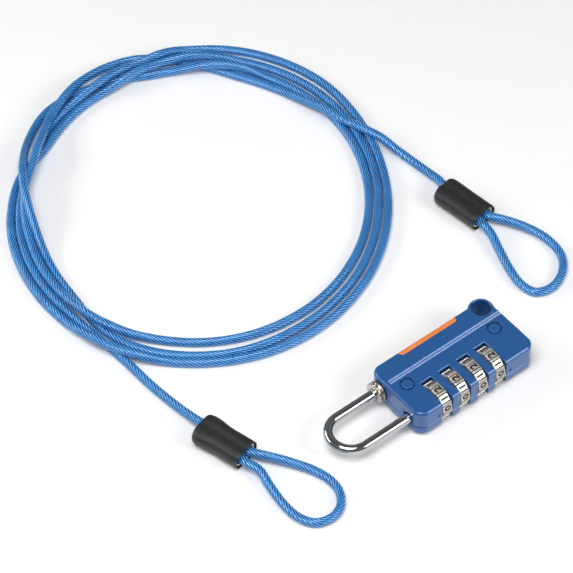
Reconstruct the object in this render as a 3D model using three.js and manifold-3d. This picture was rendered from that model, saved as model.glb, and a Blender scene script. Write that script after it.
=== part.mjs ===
// Combination cable lock: a four-dial padlock with a loose looped steel cable beside it.
// Millimetres, +Z up. The origin is the centre of the padlock's flat back face. The shackle
// points along -X, the dials sit on the -Y side and the coiled cable lies on the +Y side.
import * as THREE from 'three';
import { mergeVertices } from 'three/addons/utils/BufferGeometryUtils.js';
import Module from 'manifold-3d';

// ---------------------------------------------------------------- driving dimensions
const GAP = 0.3; // running clearance between neighbouring pieces
const FLOOR = -1.55; // the dials stand proud of the back face, so the lock rests on them

const CASE = { length: 65, width: 34, height: 13.5, corner: 5, bevel: 1.2, parting: 4.4 };
const HALF_LENGTH = CASE.length / 2;
const HALF_WIDTH = CASE.width / 2;
const LUG = { x: 27.2, y: 13.1, radius: 5.9, hole: 4.4, fillet: 2, notch: 1 };
const GROOVE = { y: 6, width: 1.5, depth: 0.6, x0: -30.3, x1: 31.4 };
const INLAY = { x0: -17.8, x1: 14.7, depth: 2.9, chamfer: 2 };
const RIVET = { xs: [-24.7, 24.3], y: 1, head: 2.65, ring: 3.4, shank: 1.5 };

const MARK_XS = [-21.9, 18.2]; // index marks beside the first and the last dial

const AXIS_Z = 6.75; // height of both shackle legs above the back face
const HEEL_Y = -9.45; // the spindle and the dials turn about this line
const TOE_Y = 9.85;
const WIRE = 2.2; // shackle wire radius
const BOW_X = -56.5; // where the straight legs meet the bow
const TOE_END = -28.5;
const SPINDLE_END = 27.5;

const DIAL = { pitch: 10, first: -17.2, count: 4, radius: 8.3, flat: 7.95, bore: 5.3, width: 5 };
const SLOT = { half: 3, radius: 8.8, edge: -2.2 };
const BUSH = { radius: 5, bore: 2.5, length: 5.4, keyHalf: 1.1, keyTop: 4 };
const FIN = { half: 0.6, side: 0.8, top: 3.6 };
const CHAMBER = { radius: 4, x0: -23.6, x1: 28 };
const CLIP = { x: 26.3, width: 0.8, radius: 3.5, bore: 1.9, groove: 1.6 };
const SPRING = { x0: 28.1, x1: 31, radius: 1.9, wire: 0.35, turns: 2 };
const COLLAR = { x0: -35.9, x1: -32.8, radius: 4.8, neck: 4.1, spigot: 3.6, spigotEnd: -29.6 };
const DETENT = { y: 0.4, thick: 0.4, nose: 1.15, half: 1.5, x0: -21.8, x1: 16.9 };

const CORD = 2; // cable radius
const LYING = FLOOR + CORD; // height of the cable's axis where it lies on the surface
const SLEEVE = { length: 24, width: 14.6, height: 9.2, shoulder: 2.6 };
const FERRULE = { length: 19, width: 12.6, height: 7.4, wall: 0.9, recess: 0.6 };
const BARREL = 2.2; // half the distance between the two cable runs in a ferrule
const CRIMPED = FLOOR + SLEEVE.height / 2; // height of the sleeve's axis
const COIL = { x: -22.8, y: 146.9, radius: 83.65, swell: 3.45, turn: 50.5, half: 8, height: 8.4 };

// each sleeve: centre of its end face at the tail side, and the heading of its axis in degrees
const SLEEVE_A = { x: 64.8, y: 81.6, heading: -82.5 };
const SLEEVE_B = { x: -102.6, y: 43.6, heading: -76.5 };

// the cable's uncoiled routes, outside the sleeves, in order away from the sleeve or the coil
const LOOP_A = [
  [75.4, 50.6, 2.4], [80.6, 41.6, 1.3], [83.2, 31.6, 0.6], [81.8, 21.4, LYING], [75.4, 13.6, LYING],
  [66.0, 10.2, LYING], [59.0, 12.6, LYING], [57.0, 20.0, LYING], [58.8, 30.0, 0.7],
  [62.2, 41.0, 1.5], [65.0, 50.2, 2.5],
];
const LOOP_B = [
  [-88.6, 13.0, 2.4], [-82.6, 4.6, 1.3], [-78.2, -3.4, 0.6], [-76.4, -11.6, LYING],
  [-77.8, -18.8, LYING], [-82.6, -24.4, LYING], [-89.0, -26.2, LYING], [-95.4, -24.0, LYING],
  [-99.2, -17.4, LYING], [-99.9, -8.4, 0.7], [-98.8, 2.0, 1.5], [-97.4, 11.4, 2.5],
];
const TAIL_A = [[64.6, 118.6, 1.4], [65.7, 111.4, 0.7], [66.9, 103.4, LYING], [67.7, 94.6, 0.9], [67.7, 87.6, 2.2]];
const TAIL_B = [
  [-104.0, 94.4, 0.8], [-104.2, 87.0, LYING], [-103.9, 78.6, LYING], [-103.2, 69.6, LYING],
  [-102.4, 60.6, 0.8], [-101.6, 51.6, 2.2],
];

// ---------------------------------------------------------------- materials
function paint(color, roughness, metalness) {
  return new THREE.MeshStandardMaterial({ color, roughness, metalness });
}

const BLUE = [0x2a62a6, 0.35, 0.45];
const ORANGE = [0xe08a4c, 0.5, 0];
const NICKEL = [0xc3bfb4, 0.3, 1];
const CHROME = [0xd9dce0, 0.12, 1];
const STEEL = [0x8f9296, 0.35, 1];
const BRASS = [0xb59a55, 0.35, 1];
const RUBBER = [0x202224, 0.6, 0];
const CABLE = [0x2f7ad0, 0.3, 0.1];

// ---------------------------------------------------------------- solids
const wasm = await Module();
wasm.setup();

// A closed three.js geometry as a solid for cutting and joining.
function solid(geometry) {
  const bare = geometry.clone();
  bare.deleteAttribute('normal');
  bare.deleteAttribute('uv');
  const welded = mergeVertices(bare, 1e-4);
  return new wasm.Manifold(new wasm.Mesh({
    numProp: 3,
    vertProperties: new Float32Array(welded.attributes.position.array),
    triVerts: new Uint32Array(welded.index.array),
  }));
}

function geometryOf(body) {
  const mesh = body.getMesh();
  const geometry = new THREE.BufferGeometry();
  geometry.setAttribute('position', new THREE.BufferAttribute(mesh.vertProperties, 3));
  geometry.setIndex(new THREE.BufferAttribute(mesh.triVerts, 1));
  geometry.computeVertexNormals();
  return geometry;
}

function cut(body, tools) {
  return tools.reduce((rest, tool) => rest.subtract(tool), body);
}

function block(x0, x1, y0, y1, z0, z1) {
  const box = new THREE.BoxGeometry(x1 - x0, y1 - y0, z1 - z0);
  return solid(box.translate((x0 + x1) / 2, (y0 + y1) / 2, (z0 + z1) / 2));
}

// round bar along X
function barX(radius, x0, x1, y, sides = 24) {
  const bar = new THREE.CylinderGeometry(radius, radius, x1 - x0, sides);
  return solid(bar.rotateZ(-Math.PI / 2).translate((x0 + x1) / 2, y, AXIS_Z));
}

// round post along Z
function postZ(radius, z0, z1, x, y, sides = 24) {
  const post = new THREE.CylinderGeometry(radius, radius, z1 - z0, sides);
  return solid(post.rotateX(Math.PI / 2).translate(x, y, (z0 + z1) / 2));
}

// an outline in the YZ plane, extruded along X from x0 and centred on the line (y, AXIS_Z)
function extrudeX(shape, x0, length, y, curveSegments = 6) {
  const plate = new THREE.ExtrudeGeometry(shape, { depth: length, bevelEnabled: false, curveSegments });
  const toX = new THREE.Matrix4().makeBasis(
    new THREE.Vector3(0, 1, 0), new THREE.Vector3(0, 0, 1), new THREE.Vector3(1, 0, 0),
  );
  return plate.applyMatrix4(toX).translate(x0, y, AXIS_Z);
}

function circlePath(radius) {
  const path = new THREE.Path();
  path.absarc(0, 0, radius, 0, 2 * Math.PI, true);
  return path;
}

// ---------------------------------------------------------------- the scene graph
const lock = new THREE.Group();
const padlock = new THREE.Group();
const cable = new THREE.Group();
lock.add(padlock, cable);

function place(group, name, geometry, finish) {
  const mesh = new THREE.Mesh(geometry, paint(...finish));
  mesh.name = name;
  group.add(mesh);
  return mesh;
}

// ---------------------------------------------------------------- case
// Rounded rectangle with a round lug at the +X +Y corner, blended into both sides by fillets.
function caseOutline() {
  const lug = new THREE.Vector2(LUG.x, LUG.y);
  const filletY = HALF_WIDTH + LUG.fillet;
  const rise = filletY - lug.y;
  const filletX = lug.x - Math.sqrt((LUG.radius + LUG.fillet) ** 2 - rise ** 2);
  const meet = Math.atan2(rise, filletX - lug.x);
  const notchX = HALF_LENGTH + LUG.notch;
  const notchY = lug.y - Math.sqrt((LUG.radius + LUG.notch) ** 2 - (notchX - lug.x) ** 2);
  const leave = Math.atan2(notchY - lug.y, notchX - lug.x);
  const inX = HALF_LENGTH - CASE.corner;
  const inY = HALF_WIDTH - CASE.corner;
  const outline = new THREE.Shape();
  outline.moveTo(-inX, -HALF_WIDTH);
  outline.lineTo(inX, -HALF_WIDTH);
  outline.absarc(inX, -inY, CASE.corner, -Math.PI / 2, 0, false);
  outline.absarc(notchX, notchY, LUG.notch, Math.PI, leave + Math.PI, true);
  outline.absarc(lug.x, lug.y, LUG.radius, leave, meet, false);
  outline.absarc(filletX, filletY, LUG.fillet, meet - Math.PI, -Math.PI / 2, true);
  outline.absarc(-inX, inY, CASE.corner, Math.PI / 2, Math.PI, false);
  outline.absarc(-inX, -inY, CASE.corner, Math.PI, 1.5 * Math.PI, false);
  return outline;
}

function caseBlock() {
  const body = new THREE.ExtrudeGeometry(caseOutline(), {
    depth: CASE.height - 2 * CASE.bevel,
    bevelThickness: CASE.bevel,
    bevelSize: CASE.bevel,
    bevelOffset: -CASE.bevel,
    bevelSegments: 3,
    curveSegments: 8,
  });
  return solid(body.translate(0, 0, CASE.bevel));
}

function dialX(i) {
  return DIAL.first + i * DIAL.pitch;
}

// everything that both case halves are hollowed by
function caseHollows() {
  const tools = [
    barX(CHAMBER.radius, CHAMBER.x0, CHAMBER.x1, HEEL_Y),
    barX(SPRING.radius + SPRING.wire + 0.5, CHAMBER.x1 - 1, SPRING.x1 + 0.4, HEEL_Y),
    barX(WIRE + 0.35, -HALF_LENGTH - 1, CHAMBER.x0 + 1, HEEL_Y),
    barX(WIRE + GAP, -HALF_LENGTH - 1, TOE_END + 1, TOE_Y),
    barX(COLLAR.spigot + GAP, -HALF_LENGTH - 1, COLLAR.spigotEnd + GAP, TOE_Y),
    block(
      DETENT.x0 - GAP, DETENT.x1 + GAP, DETENT.y - DETENT.nose - 0.5, DETENT.y + 0.9, AXIS_Z - 1.9, AXIS_Z + 1.9,
    ),
    postZ(LUG.hole, -1, CASE.height + 1, LUG.x, LUG.y, 32),
  ];
  for (let i = 0; i < DIAL.count; i += 1) {
    const x0 = dialX(i) - SLOT.half;
    const x1 = dialX(i) + SLOT.half;
    tools.push(block(x0, x1, -HALF_WIDTH - 1, SLOT.edge, -1, CASE.height + 1));
    tools.push(barX(SLOT.radius, x0, x1, HEEL_Y, 40));
  }
  for (const x of RIVET.xs) {
    tools.push(postZ(RIVET.shank + GAP, -1, CASE.height + 1, x, RIVET.y));
    tools.push(postZ(RIVET.ring, CASE.height - 1.6, CASE.height + 1, x, RIVET.y, 32));
    tools.push(postZ(RIVET.head - 0.2, -1, 1.4, x, RIVET.y));
  }
  return tools;
}

// the strip's outline seen from above: chamfered at one end, rounded at the other
function inlayOutline(grow) {
  const y0 = HALF_WIDTH - INLAY.depth - grow;
  const y1 = HALF_WIDTH + grow;
  const x0 = INLAY.x0 - grow;
  const x1 = INLAY.x1 + grow;
  const strip = new THREE.Shape();
  strip.moveTo(x0, y1);
  strip.lineTo(x0 + INLAY.chamfer, y0);
  strip.lineTo(x1 - INLAY.chamfer, y0);
  strip.absarc(x1 - INLAY.chamfer, y0 + INLAY.chamfer, INLAY.chamfer, -Math.PI / 2, 0, false);
  strip.lineTo(x1, y1);
  return strip;
}

function inlayBody(grow, z0, z1) {
  const strip = new THREE.ExtrudeGeometry(inlayOutline(grow), {
    depth: z1 - z0, bevelEnabled: false, curveSegments: 4,
  });
  return solid(strip.translate(0, 0, z0));
}

function buildCase() {
  const bottom = CASE.parting - GAP / 2;
  const top = CASE.parting + GAP / 2;
  const hollows = caseHollows();
  const reach = CASE.length;
  const above = block(-reach, reach, -reach, reach, bottom, 2 * CASE.height);
  const below = block(-reach, reach, -reach, reach, -CASE.height, top);
  const toeChannel = block(-HALF_LENGTH + 1, TOE_END + 1, TOE_Y - WIRE - GAP, TOE_Y + WIRE + GAP, 0, AXIS_Z);
  const grooveY = GROOVE.width / 2;
  const front = cut(caseBlock(), [
    below,
    ...hollows,
    toeChannel,
    block(GROOVE.x0, GROOVE.x1, GROOVE.y - grooveY, GROOVE.y + grooveY, CASE.height - GROOVE.depth, 20),
    inlayBody(GAP, top + 0.4, CASE.height + 1),
    ...MARK_XS.map((x) => block(x - 0.3, x + 0.3, -HALF_WIDTH - 1, -HALF_WIDTH + 0.4, AXIS_Z - 0.8, AXIS_Z + 1.4)),
  ]);
  const back = cut(caseBlock(), [above, ...hollows]);
  place(padlock, 'case_front', geometryOf(front), BLUE);
  place(padlock, 'case_back', geometryOf(back), BLUE);

  const inlay = inlayBody(0, top + 0.4 + GAP, CASE.height - 0.1).intersect(caseBlock());
  place(padlock, 'side_inlay', geometryOf(inlay), ORANGE);
}

function buildRivets() {
  const z1 = CASE.height;
  const profile = [
    [0, 0.1], [RIVET.head - 0.6, 0.1], [RIVET.head - 0.6, 1], [RIVET.shank, 1.1],
    [RIVET.shank, z1 - 1.3], [RIVET.head, z1 - 1.2], [RIVET.head, z1 - 0.3], [RIVET.head - 0.3, z1], [0, z1],
  ].map(([r, z]) => new THREE.Vector2(r, z));
  RIVET.xs.forEach((x, i) => {
    const rivet = new THREE.LatheGeometry(profile, 24).rotateX(Math.PI / 2).translate(x, RIVET.y, 0);
    place(padlock, `rivet_${i + 1}`, geometryOf(solid(rivet)), BLUE);
  });
}

// ---------------------------------------------------------------- dials
// ten flats for the figures, with a rib between each pair
function dialOutline() {
  const figures = 10;
  const step = (2 * Math.PI) / figures;
  const outline = new THREE.Shape();
  for (let i = 0; i < figures; i += 1) {
    const middle = i * step + THREE.MathUtils.degToRad(5 + 90);
    for (const [side, radius] of [[-0.32, DIAL.flat], [0.32, DIAL.flat], [0.4, DIAL.radius], [0.6, DIAL.radius]]) {
      const angle = middle + side * step;
      const point = [radius * Math.cos(angle), radius * Math.sin(angle)];
      if (i === 0 && side === -0.32) outline.moveTo(...point);
      else outline.lineTo(...point);
    }
  }
  outline.holes.push(circlePath(DIAL.bore));
  return outline;
}

// round bush with a key slot at the top, which the spindle's fins pass through
function bushOutline() {
  const slotAngle = Math.asin(BUSH.keyHalf / BUSH.bore);
  const outline = new THREE.Shape();
  outline.absarc(0, 0, BUSH.radius, 0, 2 * Math.PI, false);
  const bore = new THREE.Path();
  bore.moveTo(BUSH.keyHalf, BUSH.keyTop);
  bore.lineTo(BUSH.keyHalf, BUSH.bore * Math.cos(slotAngle));
  bore.absarc(0, 0, BUSH.bore, Math.PI / 2 - slotAngle, Math.PI / 2 + slotAngle, true);
  bore.lineTo(-BUSH.keyHalf, BUSH.keyTop);
  outline.holes.push(bore);
  return outline;
}

function buildDials() {
  for (let i = 0; i < DIAL.count; i += 1) {
    const x = dialX(i);
    const dial = extrudeX(dialOutline(), x - DIAL.width / 2, DIAL.width, HEEL_Y, 16);
    place(padlock, `dial_${i + 1}`, geometryOf(solid(dial)), NICKEL);
    const bush = extrudeX(bushOutline(), x - BUSH.length / 2, BUSH.length, HEEL_Y, 14);
    place(padlock, `dial_bush_${i + 1}`, geometryOf(solid(bush)), BRASS);
  }
}

// ---------------------------------------------------------------- shackle and its small pieces
function sweep(curve, radius, steps, sides) {
  const section = new THREE.Shape();
  section.absarc(0, 0, radius, 0, 2 * Math.PI, false);
  return new THREE.ExtrudeGeometry(section, { steps, curveSegments: sides / 2, extrudePath: curve });
}

function buildShackle() {
  const bowY = (HEEL_Y + TOE_Y) / 2;
  const bowRadius = (TOE_Y - HEEL_Y) / 2;
  const steps = 14;
  const points = [new THREE.Vector3(-31, TOE_Y, AXIS_Z), new THREE.Vector3(-44, TOE_Y, AXIS_Z)];
  for (let i = 0; i <= steps; i += 1) {
    const angle = Math.PI / 2 + (Math.PI * i) / steps;
    const x = BOW_X + bowRadius * Math.cos(angle);
    points.push(new THREE.Vector3(x, bowY + bowRadius * Math.sin(angle), AXIS_Z));
  }
  points.push(new THREE.Vector3(-44, HEEL_Y, AXIS_Z), new THREE.Vector3(-31, HEEL_Y, AXIS_Z));
  const bend = new THREE.CatmullRomCurve3(points, false, 'centripetal');
  let body = solid(sweep(bend, WIRE, 44, 16));
  body = body.add(barX(WIRE, -31.5, TOE_END, TOE_Y, 16));
  body = body.add(barX(WIRE, -31.5, SPINDLE_END, HEEL_Y, 16));
  for (let i = 0; i < DIAL.count; i += 1) {
    const x = dialX(i) + DIAL.pitch / 2;
    const side = FIN.side;
    const fin = block(x - FIN.half, x + FIN.half, HEEL_Y - side, HEEL_Y + side, AXIS_Z, AXIS_Z + FIN.top);
    body = body.add(fin);
  }
  const seatX0 = CLIP.x - CLIP.width / 2 - GAP;
  const seatX1 = CLIP.x + CLIP.width / 2 + GAP;
  const seat = barX(CLIP.radius, seatX0, seatX1, HEEL_Y).subtract(barX(CLIP.groove, seatX0 - 1, seatX1 + 1, HEEL_Y, 16));
  place(padlock, 'shackle', geometryOf(body.subtract(seat)), CHROME);

  // open C-shaped clip, its mouth facing down
  const mouth = THREE.MathUtils.degToRad(50);
  const start = -Math.PI / 2 + mouth;
  const end = 1.5 * Math.PI - mouth;
  const ring = new THREE.Shape();
  ring.absarc(0, 0, CLIP.radius, start, end, false);
  ring.absarc(0, 0, CLIP.bore, end, start, true);
  const clip = extrudeX(ring, CLIP.x - CLIP.width / 2, CLIP.width, HEEL_Y, 16);
  place(padlock, 'shackle_clip', geometryOf(solid(clip)), STEEL);
}

function buildSprings() {
  const turns = SPRING.turns;
  const points = [];
  for (let i = 0; i <= turns * 10; i += 1) {
    const angle = (i / 10) * 2 * Math.PI;
    const x = SPRING.x0 + SPRING.wire + ((SPRING.x1 - SPRING.x0 - 2 * SPRING.wire) * i) / (turns * 10);
    const y = HEEL_Y + SPRING.radius * Math.cos(angle);
    points.push(new THREE.Vector3(x, y, AXIS_Z + SPRING.radius * Math.sin(angle)));
  }
  const coil = sweep(new THREE.CatmullRomCurve3(points), SPRING.wire, turns * 10, 6);
  place(padlock, 'shackle_spring', geometryOf(solid(coil)), STEEL);

  // leaf strip seen from above: a straight back with a nose towards each dial
  const back = DETENT.y + DETENT.thick;
  const leaf = new THREE.Shape();
  leaf.moveTo(DETENT.x1, back);
  leaf.lineTo(DETENT.x0, back);
  leaf.lineTo(DETENT.x0, DETENT.y);
  for (let i = 0; i < DIAL.count; i += 1) {
    const x = dialX(i);
    leaf.lineTo(x - 2, DETENT.y);
    leaf.lineTo(x - 0.5, DETENT.y - DETENT.nose);
    leaf.lineTo(x + 0.5, DETENT.y - DETENT.nose);
    leaf.lineTo(x + 2, DETENT.y);
  }
  leaf.lineTo(DETENT.x1, DETENT.y);
  const strip = new THREE.ExtrudeGeometry(leaf, { depth: 2 * DETENT.half, bevelEnabled: false });
  place(padlock, 'detent_spring', strip.translate(0, 0, AXIS_Z - DETENT.half), STEEL);
}

// fluted spool round the toe leg with a spigot held between the case halves
function buildCollar() {
  const bore = WIRE + GAP;
  const mid = (COLLAR.x0 + COLLAR.x1) / 2;
  const profile = [
    [bore, COLLAR.x0], [COLLAR.radius - 0.5, COLLAR.x0], [COLLAR.radius, COLLAR.x0 + 0.4],
    [COLLAR.radius, mid - 0.4], [COLLAR.neck, mid - 0.2], [COLLAR.neck, mid + 0.2], [COLLAR.radius, mid + 0.4],
    [COLLAR.radius, COLLAR.x1], [COLLAR.spigot, COLLAR.x1], [COLLAR.spigot, COLLAR.spigotEnd],
    [bore, COLLAR.spigotEnd], [bore, COLLAR.x0],
  ].map(([r, x]) => new THREE.Vector2(r, x));
  const spool = new THREE.LatheGeometry(profile, 24).rotateZ(-Math.PI / 2).translate(0, TOE_Y, AXIS_Z);
  const flutes = [];
  for (let i = 0; i < 8; i += 1) {
    const angle = (i * Math.PI) / 4;
    const flute = new THREE.CylinderGeometry(0.6, 0.6, 8, 8).rotateZ(-Math.PI / 2);
    const out = COLLAR.radius + 0.15;
    flute.translate(mid - 4.2, TOE_Y + out * Math.cos(angle), AXIS_Z + out * Math.sin(angle));
    flutes.push(solid(flute));
  }
  place(padlock, 'toe_collar', geometryOf(cut(solid(spool), flutes)), NICKEL);
}

// ---------------------------------------------------------------- cable
function ferruleOutline(width, height) {
  const r = height / 2;
  const reach = width / 2 - r;
  const outline = new THREE.Shape();
  outline.moveTo(-reach, -r);
  outline.lineTo(reach, -r);
  outline.absarc(reach, 0, r, -Math.PI / 2, Math.PI / 2, false);
  outline.absarc(-reach, 0, r, Math.PI / 2, 1.5 * Math.PI, false);
  return outline;
}

// prism of an oval section along the sleeve's axis, from u0 to u1, in the sleeve's own frame
function ovalPrism(width, height, u0, u1) {
  const oval = ferruleOutline(width, height);
  const prism = new THREE.ExtrudeGeometry(oval, { depth: u1 - u0, bevelEnabled: false, curveSegments: 8 });
  return solid(prism.translate(0, 0, u0));
}

// The sleeve's own frame: local Z runs along its axis away from the tail, local X points to
// the side where the tail enters, local Y is up.
function sleeveFrame(seat) {
  const heading = THREE.MathUtils.degToRad(seat.heading);
  const along = new THREE.Vector3(Math.cos(heading), Math.sin(heading), 0);
  const up = new THREE.Vector3(0, 0, 1);
  const side = new THREE.Vector3().crossVectors(up, along);
  const frame = new THREE.Matrix4().makeBasis(side, up, along);
  return frame.setPosition(seat.x, seat.y, CRIMPED);
}

function buildSleeve(suffix, seat) {
  const frame = sleeveFrame(seat);
  const ferruleEnd = SLEEVE.length - FERRULE.recess;
  const ferruleStart = ferruleEnd - FERRULE.length;
  const wall = 2 * FERRULE.wall;
  const opening = ovalPrism(FERRULE.width - wall, FERRULE.height - wall, ferruleStart - 1, SLEEVE.length + 1);
  const ferrule = ovalPrism(FERRULE.width, FERRULE.height, ferruleStart, ferruleEnd).subtract(opening);
  const pocket = ovalPrism(FERRULE.width + 2 * GAP, FERRULE.height + 2 * GAP, ferruleStart - GAP, SLEEVE.length + 1);
  const entry = ovalPrism(2 * CORD + 4 * GAP, 2 * CORD + 2 * GAP, -1, ferruleStart);

  const hull = new THREE.ExtrudeGeometry(ferruleOutline(SLEEVE.width, SLEEVE.height), {
    depth: SLEEVE.length - SLEEVE.shoulder - 0.5,
    bevelThickness: SLEEVE.shoulder,
    bevelSize: SLEEVE.shoulder,
    bevelOffset: -SLEEVE.shoulder,
    bevelSegments: 3,
    curveSegments: 10,
  });
  const shell = solid(hull.translate(0, 0, SLEEVE.shoulder));
  const trim = ovalPrism(2 * SLEEVE.width, 2 * SLEEVE.width, SLEEVE.length, 2 * SLEEVE.length);
  const tailHole = entry.translate([BARREL, 0, 0]);
  const sleeve = cut(shell, [trim, pocket, tailHole]);

  place(cable, `ferrule_${suffix}`, geometryOf(ferrule).applyMatrix4(frame), STEEL);
  place(cable, `sleeve_${suffix}`, geometryOf(sleeve).applyMatrix4(frame), RUBBER);
}

// a point in the sleeve's frame: side offset and distance along its axis
function inSleeve(seat, side, along) {
  return new THREE.Vector3(side, 0, along).applyMatrix4(sleeveFrame(seat));
}

function cordGeometry(points, steps) {
  const route = points.map((p) => (p instanceof THREE.Vector3 ? p : new THREE.Vector3(...p)));
  return sweep(new THREE.CatmullRomCurve3(route, false, 'centripetal'), CORD, steps, 10);
}

function buildCable() {
  const mouth = SLEEVE.length + GAP;
  for (const [suffix, seat, loop, tail] of [['a', SLEEVE_A, LOOP_A, TAIL_A], ['b', SLEEVE_B, LOOP_B, TAIL_B]]) {
    const loopRoute = [
      inSleeve(seat, BARREL, mouth), inSleeve(seat, BARREL + 0.2, mouth + 2), ...loop,
      inSleeve(seat, -BARREL - 0.2, mouth + 2), inSleeve(seat, -BARREL, mouth),
    ];
    place(cable, `cable_loop_${suffix}`, cordGeometry(loopRoute, 24), CABLE);
    const tailRoute = [...tail, inSleeve(seat, BARREL, -2), inSleeve(seat, BARREL, -GAP)];
    place(cable, `cable_tail_${suffix}`, cordGeometry(tailRoute, 8), CABLE);
    buildSleeve(suffix, seat);
  }

  // the coil's outer shape: a slightly oval ring lying on the surface
  const half = COIL.half;
  const top = COIL.height;
  const section = [
    [-half, 2], [-half + 2, 0], [half - 2, 0], [half, 2], [half, top - 2.5], [half - 3, top],
    [-half + 3, top], [-half, top - 2.5], [-half, 2],
  ].map(([r, z]) => new THREE.Vector2(COIL.radius + r, z));
  const ring = new THREE.LatheGeometry(section, 48).rotateX(Math.PI / 2);
  ring.scale(1 + COIL.swell / COIL.radius, 1 - COIL.swell / COIL.radius, 1);
  ring.rotateZ(THREE.MathUtils.degToRad(COIL.turn)).translate(COIL.x, COIL.y, FLOOR);
  place(cable, 'cable_coil', geometryOf(solid(ring)), CABLE);
}

buildCase();
buildRivets();
buildDials();
buildShackle();
buildSprings();
buildCollar();
buildCable();

export default lock;
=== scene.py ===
"""Looks of the cable lock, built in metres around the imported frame.

The padlock's pieces are made in millimetres in the frame's own axes and scaled once on the way in.
"""
import math

import bmesh
import bpy
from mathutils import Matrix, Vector


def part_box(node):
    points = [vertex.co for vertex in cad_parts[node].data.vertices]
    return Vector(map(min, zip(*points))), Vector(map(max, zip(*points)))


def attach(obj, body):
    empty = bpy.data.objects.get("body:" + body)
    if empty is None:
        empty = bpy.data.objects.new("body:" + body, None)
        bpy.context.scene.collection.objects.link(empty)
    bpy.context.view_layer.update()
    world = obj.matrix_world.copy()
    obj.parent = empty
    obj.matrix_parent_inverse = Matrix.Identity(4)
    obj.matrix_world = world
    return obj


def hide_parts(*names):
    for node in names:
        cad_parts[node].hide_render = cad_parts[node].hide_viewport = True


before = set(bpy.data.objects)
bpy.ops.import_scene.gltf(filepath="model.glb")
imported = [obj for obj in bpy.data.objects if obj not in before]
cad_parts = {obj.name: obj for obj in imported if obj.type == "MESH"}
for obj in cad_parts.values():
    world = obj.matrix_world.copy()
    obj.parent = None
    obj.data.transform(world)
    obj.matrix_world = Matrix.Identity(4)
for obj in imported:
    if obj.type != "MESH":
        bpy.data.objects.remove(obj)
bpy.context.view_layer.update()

MM = 0.001

# ---------------------------------------------------------------- driving dimensions, mm
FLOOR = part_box("sleeve_a")[0][2] / MM  # the surface that everything lies on
CASE_X, CASE_Y, CASE_Z = 32.5, 17.0, 13.5
CORNER = 5.0
EDGE, BACK_EDGE = 1.2, 1.1
PARTING, PARTING_GAP = 4.4, 0.12
GAP = 0.3  # running clearance
LUG_X, LUG_Y, LUG_R, LUG_HOLE, LUG_FILLET, LUG_NOTCH = 27.2, 13.1, 5.9, 4.4, 2.0, 1.0
AXIS_Z = 6.75
HEEL_Y, TOE_Y = -9.45, 9.85
WIRE = 2.2
BOW_X = -56.5
TOE_END, SPINDLE_END = -28.5, 27.5
DIAL_XS = (-17.2, -7.2, 2.8, 12.8)
DIAL_R, DIAL_FLAT, DIAL_BORE, DIAL_HALF = 8.3, 7.95, 5.35, 2.5
SLOT_HALF, SLOT_R, SLOT_EDGE = 3.0, 8.8, -2.2
RIVET_XS, RIVET_Y, RIVET_HEAD, RIVET_RING = (-24.7, 24.3), 1.0, 2.65, 3.4
GROOVE_Y, GROOVE_X0, GROOVE_DEPTH = 6.0, -30.3, 0.6
INLAY_X0, INLAY_X1, INLAY_DEPTH = -17.8, 14.7, 2.9
COLLAR_X0, COLLAR_X1, COLLAR_R, COLLAR_NECK = -35.9, -32.8, 4.8, 4.1
COLLAR_NOTCHES, COLLAR_NOTCH_R = 16, 0.42
SPIGOT_R, SPIGOT_X = 3.6, -29.6
MARK_XS = (-21.9, 18.2)
CHAMBER_R, CHAMBER_X0, CHAMBER_X1 = 4.0, -23.6, 28.0
CLIP_X, CLIP_SEAT_R = 26.3, 1.6
FIGURE_TURN = -5.0  # how far figure 2 stands past the top, towards the far side, in degrees

CORD = 2.0
LYING = FLOOR + CORD
SLEEVE_LENGTH, SLEEVE_WIDTH, SLEEVE_HEIGHT = 24.0, 14.6, 9.2
FERRULE_WIDTH, FERRULE_HEIGHT, FERRULE_WALL = 12.6, 7.4, 0.9
FERRULE_START, FERRULE_END = 4.4, 23.4
BARREL = 2.2  # from a sleeve's middle line to each run of cable in it
CUT_END = 9  # how far inside its sleeve each end of the cable stops
CRIMPED = FLOOR + SLEEVE_HEIGHT / 2
SLEEVES = {"a": (64.8, 81.6, -82.5), "b": (-102.6, 43.6, -76.5)}

# ---------------------------------------------------------------- camera
# The view looks down at 50 degrees from the near left, from far enough away to be almost parallel.
VIEW_TARGET = Vector((-0.02358, 0.0841, 0.0))
VIEW_DISTANCE = 1.7459
VIEW_AZIMUTH = math.radians(-39)
VIEW_ELEVATION = math.radians(50)


def make_camera():
    data = bpy.data.cameras.new("camera")
    data.lens = 250
    data.sensor_width = 36
    data.clip_end = 20
    camera = bpy.data.objects.new("camera", data)
    bpy.context.collection.objects.link(camera)
    back = Vector((
        math.sin(VIEW_AZIMUTH) * math.cos(VIEW_ELEVATION),
        -math.cos(VIEW_AZIMUTH) * math.cos(VIEW_ELEVATION),
        math.sin(VIEW_ELEVATION),
    ))
    camera.location = VIEW_TARGET + back * VIEW_DISTANCE
    camera.rotation_euler = back.to_track_quat("Z", "Y").to_euler()
    bpy.context.scene.camera = camera


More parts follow.
